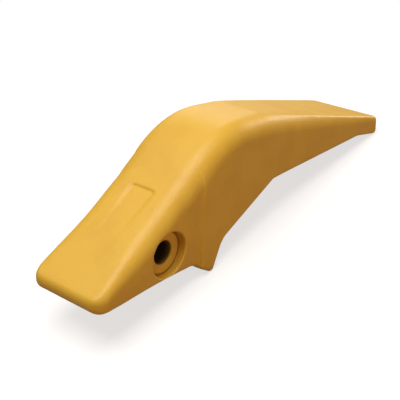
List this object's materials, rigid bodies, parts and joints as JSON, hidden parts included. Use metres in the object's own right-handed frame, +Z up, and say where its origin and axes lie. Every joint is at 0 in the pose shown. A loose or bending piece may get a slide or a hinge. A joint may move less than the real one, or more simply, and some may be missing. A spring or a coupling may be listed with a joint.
{
  "type": "bucket tooth adapter",
  "caption": "Weld-on adapter for an excavator bucket tooth: tapered nose with a cross bore and retainer recess, humped body, and a strap with a heel that fits over the bucket's lip.",
  "frame": {"origin": "middle of the bounding box at the floor, where the heel and the toe of the strap stand", "axes": "+X runs back from the nose's tip to the strap's end, +Y is across, away from the retainer recess, +Z is up"},
  "size_m": [0.543, 0.1072, 0.1486],
  "materials": {
    "ochre_paint": "satin ochre yellow paint over a fine sand-cast skin"
  },
  "bodies": {
    "root": {"adapter_casting": "ochre_paint"}
  },
  "joints": []
}
